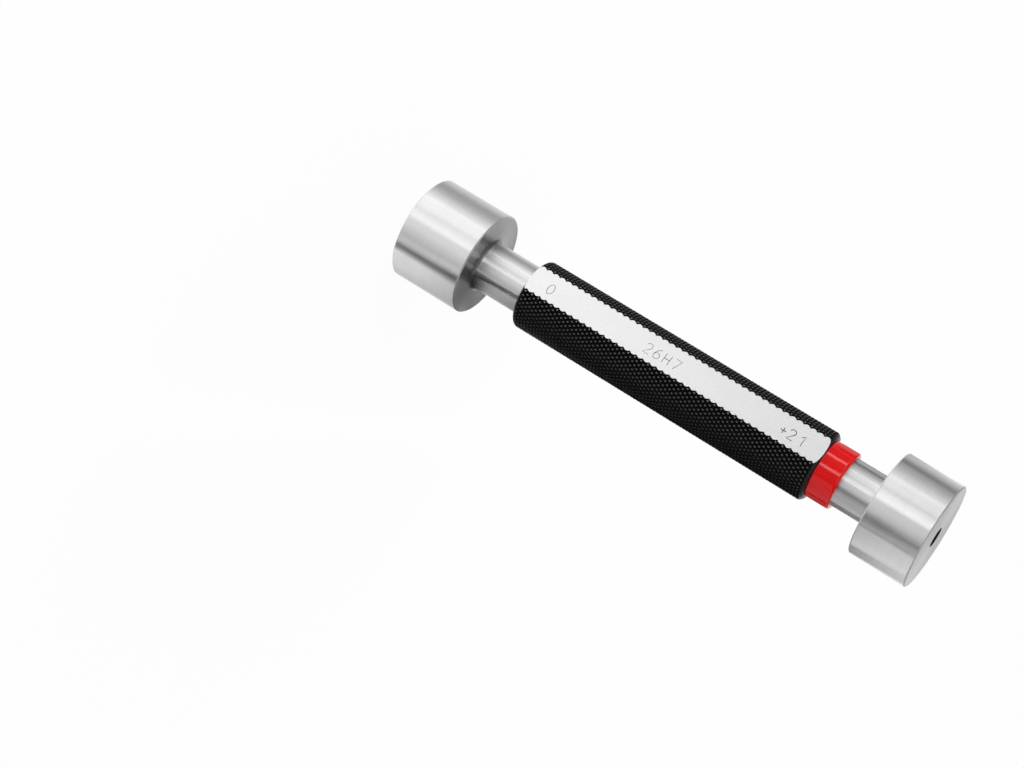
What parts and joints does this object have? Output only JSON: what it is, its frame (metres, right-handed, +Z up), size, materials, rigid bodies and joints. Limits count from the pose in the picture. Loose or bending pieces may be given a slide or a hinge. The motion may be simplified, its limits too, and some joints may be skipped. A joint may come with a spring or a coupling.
{
  "type": "plug gauge",
  "caption": "Round knurled handle with opposite flats, carrying a longer cylindrical go head at one end and a shorter no-go head behind a marking ring at the other.",
  "frame": {"origin": "centre of the go head's outer face, on which the gauge stands", "axes": "+Z up the gauge's axis from the go end to the no-go end; the marked flat of the handle faces -Y"},
  "size_m": [0.026, 0.026, 0.142],
  "materials": {
    "ground_steel": "hardened steel, cylindrically ground and lapped, with bright turned necks",
    "blackened_steel": "black oxide on a diamond knurl, with the flats ground bright",
    "red_plastic": "glossy moulded plastic"
  },
  "bodies": {
    "root": {"go_plug": "ground_steel", "no_go_plug": "ground_steel", "handle": "blackened_steel", "marker_ring": "red_plastic"}
  },
  "joints": []
}
